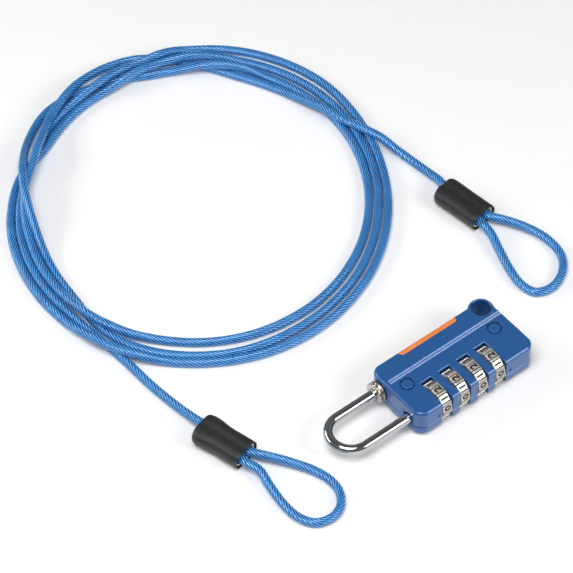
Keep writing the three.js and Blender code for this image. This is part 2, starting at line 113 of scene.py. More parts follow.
# ---------------------------------------------------------------- cable route, mm
# Uncoiled stretches, each in order away from its sleeve or from the coil.
LOOP_A = [
    (75.4, 50.6, 2.4), (80.6, 41.6, 1.3), (83.2, 31.6, 0.6), (81.8, 21.4, LYING), (75.4, 13.6, LYING),
    (66.0, 10.2, LYING), (59.0, 12.6, LYING), (57.0, 20.0, LYING), (58.8, 30.0, 0.7),
    (62.2, 41.0, 1.5), (65.0, 50.2, 2.5),
]
LOOP_B = [
    (-88.6, 13.0, 2.4), (-82.6, 4.6, 1.3), (-78.2, -3.4, 0.6), (-76.4, -11.6, LYING),
    (-77.8, -18.8, LYING), (-82.6, -24.4, LYING), (-89.0, -26.2, LYING), (-95.4, -24.0, LYING),
    (-99.2, -17.4, LYING), (-99.9, -8.4, 0.7), (-98.8, 2.0, 1.5), (-97.4, 11.4, 2.5),
]
TAIL_A = [(66.9, 103.4, LYING), (67.7, 94.6, 0.9), (67.7, 87.6, 2.2)]
TAIL_B = [(-103.9, 78.6, LYING), (-103.2, 69.6, LYING), (-102.4, 60.6, 0.8), (-101.6, 51.6, 2.2)]

COIL_X, COIL_Y, COIL_R, COIL_SWELL, COIL_TURN = -22.8, 146.9, 83.65, 3.45, 50.5

# How the turns lie: (angle along the coil in degrees, distance outside the coil's mean line,
# height above the surface's layer). The strands swap lanes by passing over one another.
LAY = [
    (-20, 12.2, 1.4), (-17, 9.2, 2.7), (-14, 5.9, 3.9), (-11, 2.8, 4.1), (-8, 0.2, 4.0),
    (-4, -2.9, 3.9), (0, -5.2, 3.9), (5, -6.6, 3.4), (10, -8.0, 2.3), (15, -8.8, 1.2),
    (21, -9.1, 0.2), (30, -9.4, 0), (38, -8.9, 0), (46, -6.4, 0), (54, -3.0, 0),
    (60, 0.4, 0), (66, 3.8, 0), (72, 6.2, 0), (80, 6.9, 0.5), (86, 6.0, 1.6),
    (90, 4.8, 3.0), (95, 3.4, 4.0), (100, 2.0, 4.0), (105, 0.8, 4.0), (110, -0.7, 4.6),
    (115, -2.6, 6.5), (120, -3.5, 7.9), (124, -3.7, 7.9), (128, -3.8, 7.0), (132, -3.3, 5.9),
    (137, -2.7, 5.4), (142, -2.5, 5.0), (147, -2.3, 4.0), (152, -2.3, 3.0), (160, -2.5, 1.9),
    (170, -2.4, 1.5), (180, -2.4, 1.5), (186, -2.3, 2.2), (192, -1.9, 3.5), (198, -1.6, 4.0),
    (204, -2.0, 3.8), (210, -3.0, 2.3), (217, -4.8, 0.6), (225, -5.7, 0), (245, -5.85, 0),
    (260, -5.85, 0), (275, -5.5, 0), (290, -5.2, 0), (305, -4.7, 0), (325, -4.4, 0),
    (345, -4.3, 0), (360, -4.3, 0), (375, -4.9, 0), (390, -5.0, 0.3), (396, -5.4, 2.0),
    (401, -6.2, 3.5), (406, -6.9, 4.1), (411, -7.3, 3.7), (416, -7.2, 2.2), (421, -6.8, 0.6),
    (428, -6.1, 0), (432, -4.9, 0), (438, -2.6, 0), (446, 0.2, 0), (454, 3.2, 0),
    (460, 5.1, 0), (466, 5.8, 0), (470, 5.4, 0), (475, 4.4, 0.6), (480, 3.0, 2.5),
    (484, 1.8, 4.5), (488, 0.6, 6.7), (492, -0.4, 8.5), (497, -1.5, 9.3), (502, -2.6, 9.0),
    (507, -3.9, 7.5), (512, -5.1, 5.4), (517, -6.0, 3.4), (523, -6.6, 1.4), (530, -6.9, 0.1),
    (540, -6.65, 0), (546, -6.0, 0), (552, -4.4, 0), (560, -1.6, 0), (568, 0.6, 0),
    (575, 1.5, 0), (585, 1.8, 0), (600, 1.7, 0), (612, 1.0, 0), (622, 0.3, 0),
    (640, 0, 0), (680, -0.1, 0), (705, -0.3, 0), (720, 0.2, 0), (735, 0.5, 0),
    (750, 0.6, 0), (760, 0.5, 0.2), (764, 0.3, 0.9), (769, -0.6, 2.4), (774, -1.6, 3.8),
    (778, -2.3, 4.0), (782, -2.9, 3.4), (786, -3.6, 3.4), (790, -4.3, 3.8), (794, -5.4, 3.9),
    (799, -6.0, 2.6), (804, -5.7, 0.9), (810, -5.1, 0), (820, -4.9, 0), (830, -4.9, 0),
    (836, -4.6, 0), (841, -3.2, 0), (846, -0.9, 0), (851, 1.2, 0), (856, 2.3, 0),
    (862, 3.2, 0), (867, 3.9, 0), (872, 4.5, 0), (880, 5.1, 0), (890, 5.4, 0),
    (900, 5.6, 0), (910, 5.9, 0.3), (917, 6.9, 2.2), (923, 7.6, 3.6), (930, 8.0, 4.0),
    (935, 7.6, 3.0), (940, 6.6, 1.2), (946, 5.8, 0.1), (955, 5.65, 0), (970, 5.8, 0),
    (985, 5.6, 0), (1000, 5.1, 0), (1015, 4.75, 0), (1035, 4.3, 0), (1055, 3.9, 0),
    (1070, 4.2, 0), (1080, 5.0, 0), (1095, 6.5, 0), (1115, 6.8, 0), (1126, 6.5, 0),
    (1132, 5.6, 0.4), (1136, 4.6, 1.4), (1140, 3.3, 3.0), (1143, 2.1, 4.0), (1146, 1.2, 3.8),
    (1150, 0.8, 2.7), (1156, -0.2, 3.1), (1162, -1.5, 4.1), (1168, -1.9, 3.5), (1174, -1.5, 2.0),
    (1180, -0.9, 0.3), (1185, -0.7, 0), (1191, -0.9, 0.6), (1196, -1.7, 2.9), (1200, -2.4, 4.0),
    (1204, -2.8, 3.9), (1208, -2.8, 3.0), (1212, -2.3, 1.9), (1217, -1.4, 1.6), (1222, -0.7, 1.4),
    (1227, 0.0, 0.7), (1232, 0.5, 0.1), (1240, 1.0, 0), (1250, 1.3, 0), (1260, 1.3, 0),
    (1270, 1.5, 0), (1276, 2.4, 0), (1282, 4.0, 0), (1287, 6.3, 0), (1291, 8.7, 0), (1295, 12.2, 0),
]


def sleeve_axes(key):
    x, y, heading = SLEEVES[key]
    heading = math.radians(heading)
    along = Vector((math.cos(heading), math.sin(heading), 0))
    side = Vector((-along.y, along.x, 0))
    return Vector((x, y, CRIMPED)), along, side


def in_sleeve(key, side_offset, distance):
    seat, along, side = sleeve_axes(key)
    return seat + side * side_offset + along * distance


def smooth_value(keys, column, angle):
    """Value of one column of LAY at an angle, on a monotone cubic through the listed rows."""
    rows = [row[0] for row in keys]
    i = max(0, min(len(keys) - 2, sum(1 for a in rows if a <= angle) - 1))
    x0, x1 = rows[i], rows[i + 1]
    y0, y1 = keys[i][column], keys[i + 1][column]

    def slope(j):
        if j <= 0 or j >= len(keys) - 1:
            return 0.0
        before = (keys[j][column] - keys[j - 1][column]) / (rows[j] - rows[j - 1])
        after = (keys[j + 1][column] - keys[j][column]) / (rows[j + 1] - rows[j])
        return 0.0 if before * after <= 0 else 2 * before * after / (before + after)

    t = (angle - x0) / (x1 - x0)
    span = x1 - x0
    h00, h10 = (1 + 2 * t) * (1 - t) ** 2, t * (1 - t) ** 2
    h01, h11 = t * t * (3 - 2 * t), t * t * (t - 1)
    return h00 * y0 + h10 * span * slope(i) + h01 * y1 + h11 * span * slope(i + 1)


def coil_points(step=4.0):
    points = []
    angle = LAY[0][0]
    while angle <= LAY[-1][0]:
        turn = math.radians(angle)
        mean = COIL_R + COIL_SWELL * math.cos(2 * (turn - math.radians(COIL_TURN)))
        radius = mean + smooth_value(LAY, 1, angle)
        height = LYING + smooth_value(LAY, 2, angle)
        x, y = COIL_X + radius * math.cos(turn), COIL_Y + radius * math.sin(turn)
        points.append(Vector((x, y, height)))
        angle += step
    return points


def cable_route():
    """The whole cable as one list: in at sleeve A, round its loop, the coil, then loop B."""
    out, inside, outside = BARREL, SLEEVE_LENGTH - 3, SLEEVE_LENGTH + 1.5
    route = [in_sleeve("a", -out, CUT_END), in_sleeve("a", -out, inside), in_sleeve("a", -out - 0.7, outside)]
    route += [Vector(p) for p in reversed(LOOP_A)]
    route += [in_sleeve("a", out + 0.7, outside), in_sleeve("a", out, inside)]
    route += [in_sleeve("a", out, distance) for distance in (12, 2, -2)]
    route += [Vector(p) for p in reversed(TAIL_A)]
    route += coil_points()
    route += [Vector(p) for p in TAIL_B]
    route += [in_sleeve("b", out, distance) for distance in (-2, 2, 12)]
    route += [in_sleeve("b", out, inside), in_sleeve("b", out + 0.8, outside)]
    route += [Vector(p) for p in LOOP_B]
    route += [in_sleeve("b", -out - 0.7, outside), in_sleeve("b", -out, inside)]
    route += [in_sleeve("b", -out, CUT_END)]
    return route


def even_curve(points, step):
    """Centripetal Catmull-Rom through the points, resampled at an even distance."""
    ends = [points[0] * 2 - points[1], *points, points[-1] * 2 - points[-2]]
    dense = []
    for p0, p1, p2, p3 in zip(ends, ends[1:], ends[2:], ends[3:]):
        t1 = (p1 - p0).length ** 0.5
        t2 = t1 + (p2 - p1).length ** 0.5
        t3 = t2 + (p3 - p2).length ** 0.5
        count = max(4, int((p2 - p1).length / 0.5))
        for k in range(count):
            t = t1 + (t2 - t1) * k / count
            a1 = p0 * ((t1 - t) / t1) + p1 * (t / t1)
            a2 = p1 * ((t2 - t) / (t2 - t1)) + p2 * ((t - t1) / (t2 - t1))
            a3 = p2 * ((t3 - t) / (t3 - t2)) + p3 * ((t - t2) / (t3 - t2))
            b1 = a1 * ((t2 - t) / t2) + a2 * (t / t2)
            b2 = a2 * ((t3 - t) / (t3 - t1)) + a3 * ((t - t1) / (t3 - t1))
            dense.append(b1 * ((t2 - t) / (t2 - t1)) + b2 * ((t - t1) / (t2 - t1)))
    dense.append(points[-1])
    even = [dense[0]]
    need = step
    for a, b in zip(dense, dense[1:]):
        length = (b - a).length
        while need <= length:
            even.append(a.lerp(b, need / length))
            need += step
        need -= length
    return even


# ---------------------------------------------------------------- mesh helpers
def mesh_piece(name, points, faces, material=None, smooth=True):
    """A mesh object from points in mm."""
    mesh = bpy.data.meshes.new(name)
    mesh.from_pydata([(x * MM, y * MM, z * MM) for x, y, z in points], [], faces)
    mesh.validate()
    if smooth:
        mesh.shade_smooth()
    piece = bpy.data.objects.new(name, mesh)
    bpy.context.collection.objects.link(piece)
    if material:
        mesh.materials.append(material)
    return piece


def loft(name, rings, material=None, closed=False, smooth=True):
    """Joins rings of equal point counts; the ends are capped unless the rings close on themselves."""
    count = len(rings[0])
    points = [p for ring in rings for p in ring]
    faces = []
    steps = len(rings) if closed else len(rings) - 1
    for r in range(steps):
        here, there = r * count, ((r + 1) % len(rings)) * count
        for k in range(count):
            following = (k + 1) % count
            faces.append((here + k, here + following, there + following, there + k))
    if not closed:
        faces.append(tuple(reversed(range(count))))
        faces.append(tuple(range((len(rings) - 1) * count, len(rings) * count)))
    piece = mesh_piece(name, points, faces, material, smooth)
    face_outwards(piece)
    return piece


def face_outwards(piece):
    work = bmesh.new()
    work.from_mesh(piece.data)
    bmesh.ops.recalc_face_normals(work, faces=work.faces)
    work.to_mesh(piece.data)
    work.free()


def apply_modifiers(piece):
    depsgraph = bpy.context.evaluated_depsgraph_get()
    baked = bpy.data.meshes.new_from_object(piece.evaluated_get(depsgraph))
    piece.modifiers.clear()
    piece.data = baked


def cut(piece, tools, operation="DIFFERENCE"):
    for tool in tools:
        modifier = piece.modifiers.new("cut", "BOOLEAN")
        modifier.operation = operation
        modifier.solver = "EXACT"
        modifier.object = tool
    apply_modifiers(piece)
    for tool in tools:
        bpy.data.objects.remove(tool)


def crisp(piece, angle=32):
    """Smooth shading that stays flat on flat faces and breaks at sharp edges."""
    piece.data.shade_smooth()
    piece.data.set_sharp_from_angle(angle=math.radians(angle))
    modifier = piece.modifiers.new("flat", "WEIGHTED_NORMAL")
    modifier.keep_sharp = True
    modifier.weight = 100
    apply_modifiers(piece)


def circle(radius, count, start=0.0):
    angles = [start + 2 * math.pi * k / count for k in range(count)]
    return [(radius * math.cos(angle), radius * math.sin(angle)) for angle in angles]


def bar_x(name, profile, y, count=64, material=None):
    """A turned piece along X from (x, radius) pairs, centred on the line (y, AXIS_Z)."""
    rings = [[(x, y + c, AXIS_Z + s) for c, s in circle(r, count)] for x, r in profile]
    return loft(name, rings, material)


def post_z(name, profile, x, y, count=64, material=None):
    """A turned piece along Z from (z, radius) pairs."""
    rings = [[(x + c, y + s, z) for c, s in circle(r, count)] for z, r in profile]
    return loft(name, rings, material)


def box_tool(x0, x1, y0, y1, z0, z1):
    rings = [[(x0, y0, z), (x1, y0, z), (x1, y1, z), (x0, y1, z)] for z in (z0, z1)]
    return loft("tool", rings, smooth=False)


def prism_x(section, x0, x1):
    """A tool along X from (y, z) pairs."""
    return loft("tool", [[(x, y, z) for y, z in section] for x in (x0, x1)], smooth=False)


def prism_y(section):
    """A tool into the dials' side of the case from (x, z) pairs."""
    rings = [[(x, y, z) for x, z in section] for y in (-CASE_Y - 1, -CASE_Y + 0.45)]
    return loft("tool", rings, smooth=False)


# ---------------------------------------------------------------- material helpers
class Nodes:
    """A material whose shader is one Principled node, with short calls for its inputs."""

    def __init__(self, name, color, roughness, metallic=0.0):
        self.material = bpy.data.materials.new(name)
        self.material.use_nodes = True
        self.tree = self.material.node_tree
        self.shader = self.tree.nodes["Principled BSDF"]
        self.set("Base Color", (*color, 1))
        self.set("Roughness", roughness)
        self.set("Metallic", metallic)
        self.coords = self.add("ShaderNodeTexCoord").outputs["Object"]

    def set(self, socket, value):
        self.shader.inputs[socket].default_value = value

    def add(self, kind, **values):
        node = self.tree.nodes.new(kind)
        for key, value in values.items():
            if key in node.inputs:
                node.inputs[key].default_value = value
            else:
                setattr(node, key, value)
        return node

    def link(self, source, target):
        self.tree.links.new(source, target)

    def noise(self, scale, detail=4.0, roughness=0.6, coords=None):
        node = self.add("ShaderNodeTexNoise")
        node.inputs["Scale"].default_value = scale
        node.inputs["Detail"].default_value = detail
        node.inputs["Roughness"].default_value = roughness
        self.link(coords or self.coords, node.inputs["Vector"])
        return node.outputs["Fac"]

    def stretched(self, scale):
        node = self.add("ShaderNodeMapping")
        node.inputs["Scale"].default_value = scale
        self.link(self.coords, node.inputs["Vector"])
        return node.outputs["Vector"]

    def ramp(self, source, stops):
        node = self.add("ShaderNodeValToRGB")
        elements = node.color_ramp.elements
        while len(elements) < len(stops):
            elements.new(0.5)
        for element, (place, color) in zip(elements, stops):
            element.position = place
            element.color = (*color, 1)
        self.link(source, node.inputs["Fac"])
        return node.outputs["Color"]

    def span(self, source, low, high, from_low=0.3, from_high=0.7):
        node = self.add("ShaderNodeMapRange")
        node.inputs["From Min"].default_value = from_low
        node.inputs["From Max"].default_value = from_high
        node.inputs["To Min"].default_value = low
        node.inputs["To Max"].default_value = high
        self.link(source, node.inputs["Value"])
        return node.outputs["Result"]

    def bump(self, source, distance, strength=1.0):
        node = self.add("ShaderNodeBump")
        node.inputs["Strength"].default_value = strength
        node.inputs["Distance"].default_value = distance
        self.link(source, node.inputs["Height"])
        self.link(node.outputs["Normal"], self.shader.inputs["Normal"])

    def color(self, output):
        self.link(output, self.shader.inputs["Base Color"])

    def roughness(self, output):
        self.link(output, self.shader.inputs["Roughness"])


def case_paint():
    """Blue metallic paint: fine flake, a slight orange peel and a clear coat."""
    m = Nodes("case_paint_look", (0.016, 0.1, 0.31), 0.36, 0.2)
    flake = m.noise(9000, detail=2)
    m.color(m.ramp(flake, [
        (0.3, (0.01, 0.08, 0.26)), (0.55, (0.015, 0.1, 0.31)), (0.75, (0.035, 0.15, 0.4)),
    ]))
    m.roughness(m.span(m.noise(700), 0.3, 0.42))
    m.set("Coat Weight", 0.6)
    m.set("Coat Roughness", 0.12)
    m.bump(m.noise(1600, detail=3), 0.00002, 0.25)
    return m.material


def orange_plastic():
    m = Nodes("inlay_look", (0.72, 0.2, 0.045), 0.42)
    m.color(m.ramp(m.noise(500), [(0.3, (0.68, 0.19, 0.045)), (0.7, (0.8, 0.26, 0.075))]))
    m.roughness(m.span(m.noise(2500), 0.36, 0.5))
    m.bump(m.noise(4000, detail=3), 0.00001, 0.3)
    return m.material


def chrome():
    m = Nodes("chrome_look", (0.5, 0.51, 0.52), 0.08, 1.0)
    m.roughness(m.span(m.noise(500, coords=m.stretched((0.2, 3, 3))), 0.05, 0.12))
    m.bump(m.noise(900, detail=2), 0.000004, 0.3)
    return m.material


def dial_nickel():
    """Worn nickel plate in random patches, with painted shade: darker and warmer in the hollows beside the
    ribs, so the ribs stand brighter.
    """
    m = Nodes("dial_look", (0.66, 0.63, 0.58), 0.36, 0.55)
    worn = m.ramp(m.noise(900), [
        (0.3, (0.5, 0.47, 0.42)), (0.6, (0.66, 0.63, 0.58)), (0.8, (0.76, 0.74, 0.7)),
    ])
    # painted shade: near-black is mixed in where the dial mesh marks the groove bottoms beside its ribs
    painted_groove_shade = m.add("ShaderNodeAttribute", attribute_name="painted_groove_shade").outputs["Fac"]
    mixed = m.add("ShaderNodeMix", data_type="RGBA")
    m.link(painted_groove_shade, mixed.inputs["Factor"])
    m.link(worn, mixed.inputs[6])
    mixed.inputs[7].default_value = (0.03, 0.028, 0.025, 1)
    m.color(mixed.outputs[2])
    m.roughness(m.span(m.noise(2200), 0.26, 0.44))
    m.bump(m.noise(3000, detail=3), 0.00001, 0.35)
    return m.material


def collar_nickel():
    m = Nodes("collar_look", (0.6, 0.53, 0.47), 0.25, 1.0)
    m.color(m.ramp(m.noise(700), [(0.3, (0.5, 0.44, 0.38)), (0.7, (0.68, 0.62, 0.56))]))
    m.roughness(m.span(m.noise(1800), 0.18, 0.34))
    m.bump(m.noise(2600, detail=3), 0.000008, 0.3)
    return m.material


def figure_paint():
    m = Nodes("figure_look", (0.012, 0.011, 0.01), 0.5)
    m.roughness(m.span(m.noise(3000), 0.4, 0.6))
    return m.material


def spring_steel():
    m = Nodes("spring_look", (0.35, 0.35, 0.36), 0.3, 1.0)
    m.roughness(m.span(m.noise(1500), 0.22, 0.4))
    m.bump(m.noise(3000), 0.000005, 0.3)
    return m.material


def bush_brass():
    m = Nodes("bush_look", (0.55, 0.4, 0.16), 0.32, 1.0)
    m.roughness(m.span(m.noise(1500, coords=m.stretched((8, 1, 1))), 0.25, 0.42))
    return m.material


def ferrule_metal():
    m = Nodes("ferrule_look", (0.86, 0.86, 0.85), 0.22, 1.0)
    m.roughness(m.span(m.noise(900), 0.15, 0.32))
    m.bump(m.noise(1800, detail=3), 0.00001, 0.4)
    return m.material


def sleeve_rubber():
    """Moulded rubber with a fine grain and a soft sheen."""
    m = Nodes("sleeve_look", (0.012, 0.013, 0.014), 0.5)
    m.color(m.ramp(m.noise(400), [(0.3, (0.009, 0.010, 0.011)), (0.7, (0.018, 0.020, 0.021))]))
    m.roughness(m.span(m.noise(1200), 0.42, 0.58))
    m.set("Coat Weight", 0.15)
    m.set("Coat Roughness", 0.35)
    m.bump(m.noise(5000, detail=4), 0.00003, 0.5)
    return m.material


def cable_coat():
    """Clear blue plastic over a twisted rope, with painted shade dark between the wires and a painted
    highlight bright along their crests.
    """
    m = Nodes("cable_look", (0.02, 0.16, 0.55), 0.3)
    # painted shade and painted highlight: the crest value darkens the flutes to navy and lights the crests
    # pale blue
    wire = m.add("ShaderNodeAttribute", attribute_name="wire").outputs["Fac"]
    wander = m.noise(260, detail=3)
    mixed = m.add("ShaderNodeMath", operation="MULTIPLY_ADD")
    m.link(wander, mixed.inputs[0])
    mixed.inputs[1].default_value = 0.5
    m.link(wire, mixed.inputs[2])
    m.color(m.ramp(mixed.outputs["Value"], [
        (0.3, (0.002, 0.03, 0.15)), (0.6, (0.006, 0.1, 0.38)),
        (0.85, (0.02, 0.22, 0.62)), (1.0, (0.09, 0.4, 0.82)),
    ]))
    m.set("Coat Weight", 0.7)
    m.set("Coat Roughness", 0.08)
    m.set("Metallic", 0.25)
    m.roughness(m.span(m.noise(1500), 0.26, 0.4))
    return m.material


# ---------------------------------------------------------------- cable
WIRES = 10
LAY_LENGTH = 22.0
WIRE_DEPTH = 0.22
POINTS_PER_WIRE = 5
CABLE_STEP = 1.0
PATH_EVERY = 4  # steps between the points of the returned path


def build_cable(material):
    """A round cable with a twisted, finely fluted surface; the flutes are the wires under the coat."""
    line = even_curve(cable_route(), CABLE_STEP)
    around = WIRES * POINTS_PER_WIRE
    points = []
    wire = []
    normal = Vector((0, 0, 1))
    for i, centre in enumerate(line):
        ahead = line[min(i + 1, len(line) - 1)] - line[max(i - 1, 0)]
        tangent = ahead.normalized()
        normal = (normal - tangent * normal.dot(tangent)).normalized()
        binormal = tangent.cross(normal)
        twist = 2 * math.pi * i * CABLE_STEP / LAY_LENGTH
        for k in range(around):
            angle = twist + 2 * math.pi * k / around
            crest = 0.5 + 0.5 * math.cos(2 * math.pi * k / POINTS_PER_WIRE)
            radius = CORD - WIRE_DEPTH * (1 - crest)
            points.append(centre + (normal * math.cos(angle) + binormal * math.sin(angle)) * radius)
            wire.append(crest)
    faces = []
    for i in range(len(line) - 1):
        here, there = i * around, (i + 1) * around
        for k in range(around):
            following = (k + 1) % around
            faces.append((here + k, here + following, there + following, there + k))
    faces.append(tuple(reversed(range(around))))
    faces.append(tuple(range((len(line) - 1) * around, len(line) * around)))
    cable = mesh_piece("cable", points, faces, material)
    # the crest value stored here carries the cable's painted shade and painted highlight
    attribute = cable.data.attributes.new("wire", "FLOAT", "POINT")
    attribute.data.foreach_set("value", wire)
    return cable, [tuple(p * MM) for p in line[::PATH_EVERY]]


# ---------------------------------------------------------------- sleeves and ferrules
# The closed shoulder: (distance along the sleeve, how far the neck has opened out to the full section)
SHOULDER = [
    (-0.6, 0.0), (-1.0, 0.28), (-1.1, 0.5), (-0.9, 0.68),
    (-0.4, 0.82), (0.5, 0.92), (1.6, 0.98), (2.8, 1.0),
]
SHOULDER_END, WAIST_AT = 4, 12


def oval(width, height, valley, count=64):
    """A figure-of-eight section: an oval pinched along the middle by the depth of the valley."""
    radius = height / 2
    reach = width / 2 - radius
    points = []
    for k in range(count):
        angle = 2 * math.pi * k / count
        x = reach * max(-1.0, min(1.0, 1.6 * math.cos(angle))) + radius * math.cos(angle)
        y = radius * math.sin(angle)
        pinch = valley * math.exp(-((x / 2.1) ** 2))
        points.append((x, y - math.copysign(pinch, y) * min(1.0, abs(y) / 1.5)))
    return points


def sleeve_ring(key, section, distance):
    seat, along, side = sleeve_axes(key)
    centre = seat + along * distance
    return [tuple(centre + side * x + Vector((0, 0, y))) for x, y in section]


def mix(one, other, amount):
    return [(a[0] + (b[0] - a[0]) * amount, a[1] + (b[1] - a[1]) * amount) for a, b in zip(one, other)]


def widened(section, scale):
    return [(x * scale, y) for x, y in section]


def sleeve_width_at(distance, bulge):
    """Share of the full width: a bulge near the closed end, then a shallow waist."""
    swell = math.exp(-(((distance - SHOULDER_END) / 4.5) ** 2))
    waist = math.exp(-(((distance - WAIST_AT) / 4) ** 2))
    return 1 + bulge * swell - 0.25 * bulge * waist


def build_sleeve(key, material, bulge):
    """Closed round the tail at one end by a rounded shoulder, open at the loop's end."""
    outer = oval(SLEEVE_WIDTH, SLEEVE_HEIGHT, 0.75)
    inner = oval(FERRULE_WIDTH + 2 * GAP, FERRULE_HEIGHT + 2 * GAP, 0.3)
    lip = mix(outer, inner, 0.3)
    neck = [(x + BARREL, y) for x, y in circle(CORD + 0.12, len(outer))]
    rings = []
    for distance, amount in SHOULDER:
        rings.append(sleeve_ring(key, widened(mix(neck, outer, amount), 1 + bulge), distance))
    for distance in range(SHOULDER_END, int(SLEEVE_LENGTH)):
        section = widened(outer, sleeve_width_at(distance, bulge))
        rings.append(sleeve_ring(key, section, distance))
    end = SLEEVE_LENGTH
    rings.append(sleeve_ring(key, outer, end - 0.5))
    rings.append(sleeve_ring(key, mix(outer, lip, 0.3), end - 0.12))
    rings.append(sleeve_ring(key, lip, end))
    rings.append(sleeve_ring(key, mix(lip, inner, 0.8), end - 0.1))
    rings.append(sleeve_ring(key, inner, end - 0.5))
    rings.append(sleeve_ring(key, inner, FERRULE_START - 0.3))
    rings.append(sleeve_ring(key, mix(neck, inner, 0.5), 2.4))
    return loft(f"rubber_sleeve_{key}", rings, material, closed=True)


def build_ferrule(key, material):
    """The pressed metal tube inside the sleeve, its rounded rim just inside the sleeve's mouth."""
    outer = oval(FERRULE_WIDTH, FERRULE_HEIGHT, 0.25)
    inner = oval(FERRULE_WIDTH - 2 * FERRULE_WALL, FERRULE_HEIGHT - 2 * FERRULE_WALL, 0.15)
    rings = []
    there = (FERRULE_START, FERRULE_END, (outer, inner))
    back = (FERRULE_END, FERRULE_START, (inner, outer))
    for start, end, sections in (there, back):
        towards = 1 if end > start else -1
        rings.append(sleeve_ring(key, sections[0], start + 0.3 * towards))
        rings.append(sleeve_ring(key, sections[0], end - 0.3 * towards))
        rings.append(sleeve_ring(key, mix(*sections, 0.2), end - 0.06 * towards))
        rings.append(sleeve_ring(key, mix(*sections, 0.5), end))
        rings.append(sleeve_ring(key, mix(*sections, 0.8), end - 0.06 * towards))
    return loft(f"pressed_ferrule_{key}", rings, material, closed=True)


# ---------------------------------------------------------------- case
def arc(x, y, radius, start, end, count=10):
    """Points on an arc, angles in degrees, in the order given."""
    return [
        (
            x + radius * math.cos(math.radians(start + (end - start) * k / count)),
            y + radius * math.sin(math.radians(start + (end - start) * k / count)),
        )
        for k in range(count + 1)
    ]


def case_outline():
    """Rounded rectangle with the lug at one corner, blended into the long side by a fillet."""
    fillet_y = CASE_Y + LUG_FILLET
    rise = fillet_y - LUG_Y
    fillet_x = LUG_X - math.sqrt((LUG_R + LUG_FILLET) ** 2 - rise ** 2)
    meet = math.degrees(math.atan2(rise, fillet_x - LUG_X))
    notch_x = CASE_X + LUG_NOTCH
    notch_y = LUG_Y - math.sqrt((LUG_R + LUG_NOTCH) ** 2 - (notch_x - LUG_X) ** 2)
    leave = math.degrees(math.atan2(notch_y - LUG_Y, notch_x - LUG_X))
    in_x, in_y = CASE_X - CORNER, CASE_Y - CORNER
    return (
        arc(in_x, -in_y, CORNER, -90, 0)
        + arc(notch_x, notch_y, LUG_NOTCH, 180, leave + 180, 6)
        + arc(LUG_X, LUG_Y, LUG_R, leave, meet, 24)
        + arc(fillet_x, fillet_y, LUG_FILLET, meet - 180, -90, 6)
        + arc(-in_x, in_y, CORNER, 90, 180)
        + arc(-in_x, -in_y, CORNER, 180, 270)
    )


def inset(outline, amount):
    """The outline moved inwards by an amount, along its corners' bisectors."""
    moved = []
    for before, here, after in zip(outline[-1:] + outline[:-1], outline, outline[1:] + outline[:1]):
        a = Vector((here[0] - before[0], here[1] - before[1]))
        b = Vector((after[0] - here[0], after[1] - here[1]))
        a = a if a.length > 1e-6 else b
        b = b if b.length > 1e-6 else a
        normal = Vector((-a.y, a.x)).normalized() + Vector((-b.y, b.x)).normalized()
        normal = normal.normalized()
        moved.append((here[0] + normal.x * amount, here[1] + normal.y * amount))
    return moved


def case_half(name, levels, material):
    """Stacked outlines from (z, inset) pairs."""
    outline = case_outline()
    clean = [outline[0]]
    for point in outline[1:]:
        if math.dist(point, clean[-1]) > 1e-3:
            clean.append(point)
    rings = [[(x, y, z) for x, y in inset(clean, amount)] for z, amount in levels]
    return loft(name, rings, material)


def rounded(z, edge, side, count=8, crown=0.14):
    """Levels of a slightly crowned chamfer at height z: side 1 for a top edge, -1 for a bottom edge."""
    levels = []
    for k in range(count + 1):
        t = k / count
        swell = crown * math.sin(math.pi * t) ** 0.6 if 0 < k < count else 0.0
        levels.append((z - side * (edge * (1 - t) - swell), max(0.0, edge * t - swell)))
    return levels if side > 0 else list(reversed(levels))


def flared_slot(x0, x1, y0, y1, flare, z):
    """A chamfer tool for a rectangular opening in the front face."""
    below = [(x0, y0), (x1, y0), (x1, y1), (x0, y1)]
    wide = 2 * flare
    left, right, near, far = x0 - wide, x1 + wide, y0 - wide, y1 + wide
    above = [(left, near), (right, near), (right, far), (left, far)]
    rings = [[(x, y, z - flare) for x, y in below], [(x, y, z + flare) for x, y in above]]
    return loft("tool", rings, smooth=False)


def flared_hole(radius, x, y, flare, z, count=64):
    return post_z("tool", [(z - flare, radius), (z + flare, radius + 2 * flare)], x, y, count)


